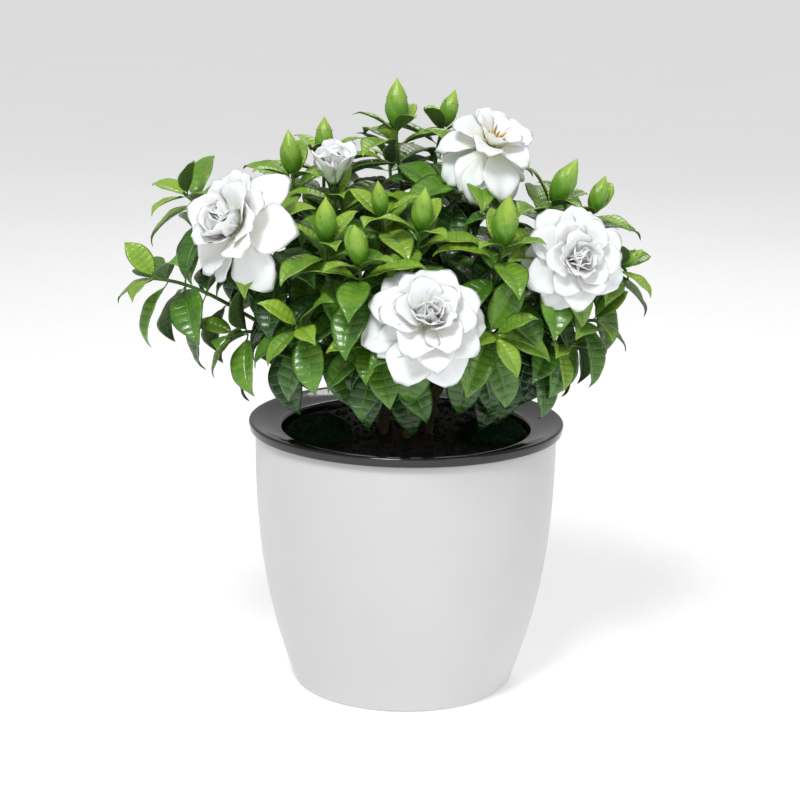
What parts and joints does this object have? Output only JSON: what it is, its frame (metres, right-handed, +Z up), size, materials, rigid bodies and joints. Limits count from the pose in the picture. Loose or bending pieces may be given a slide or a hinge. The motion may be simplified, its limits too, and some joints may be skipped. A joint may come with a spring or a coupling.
{
  "type": "potted gardenia",
  "caption": "Flowering gardenia bush with double flowers and buds, planted in a black liner that hangs by its flange in a round tapered cachepot.",
  "frame": {"origin": "centre of the pot's flat underside", "axes": "+Z up, along the pot's axis; -Y towards the side with the most open flowers; +X to the right as seen from that side"},
  "size_m": [0.3285, 0.2768, 0.3873],
  "materials": {
    "white_plastic": "smooth white moulded plastic, satin",
    "black_plastic": "polished black moulded plastic",
    "soil": "dark damp potting mix, loose and matte",
    "moss": "dense dark green moss",
    "stem": "thin brown-green bark",
    "leaf": "glossy waxy green leaf with sunk side veins",
    "bud": "yellow-green furled petals, waxy",
    "petal": "white matte petal, creamy towards the heart"
  },
  "bodies": {
    "root": {"bud_crown": "bud", "bud_crown_right": "bud", "bud_front": "bud", "bud_front_left": "bud", "bud_left_back": "bud", "bud_left_front": "bud", "bud_left_high": "bud", "bud_middle": "bud", "bud_right_back": "bud", "bud_right_front": "bud", "bud_right_high": "bud", "bud_right_low": "bud", "cachepot": "white_plastic", "flower_front": "petal", "flower_half_open": "petal", "flower_left": "petal", "flower_right": "petal", "flower_top": "petal", "liner": "black_plastic", "moss_left": "moss", "moss_right": "moss", "shoot_back_high": "leaf", "shoot_back_left": "leaf", "shoot_back_low": "leaf", "shoot_back_right": "leaf", "shoot_bud_crown": "leaf", "shoot_bud_crown_right": "leaf", "shoot_bud_front": "leaf", "shoot_bud_front_left": "leaf", "shoot_bud_left_back": "leaf", "shoot_bud_left_front": "leaf", "shoot_bud_left_high": "leaf", "shoot_bud_middle": "leaf", "shoot_bud_right_back": "leaf", "shoot_bud_right_front": "leaf", "shoot_bud_right_high": "leaf", "shoot_bud_right_low": "leaf", "shoot_flower_front": "leaf", "shoot_flower_left": "leaf", "shoot_flower_right": "leaf", "shoot_flower_top": "leaf", "shoot_front_low": "leaf", "shoot_half_open": "leaf", "shoot_left_back": "leaf", "shoot_left_back_low": "leaf", "shoot_left_far": "leaf", "shoot_left_front_low": "leaf", "shoot_left_high": "leaf", "shoot_left_low": "leaf", "shoot_right_back": "leaf", "shoot_right_far": "leaf", "shoot_right_front_low": "leaf", "shoot_right_low": "leaf", "soil": "soil", "stem_centre": "stem", "stem_front": "stem", "stem_left_back": "stem", "stem_left_front": "stem", "stem_right_back": "stem", "stem_right_front": "stem"}
  },
  "joints": []
}
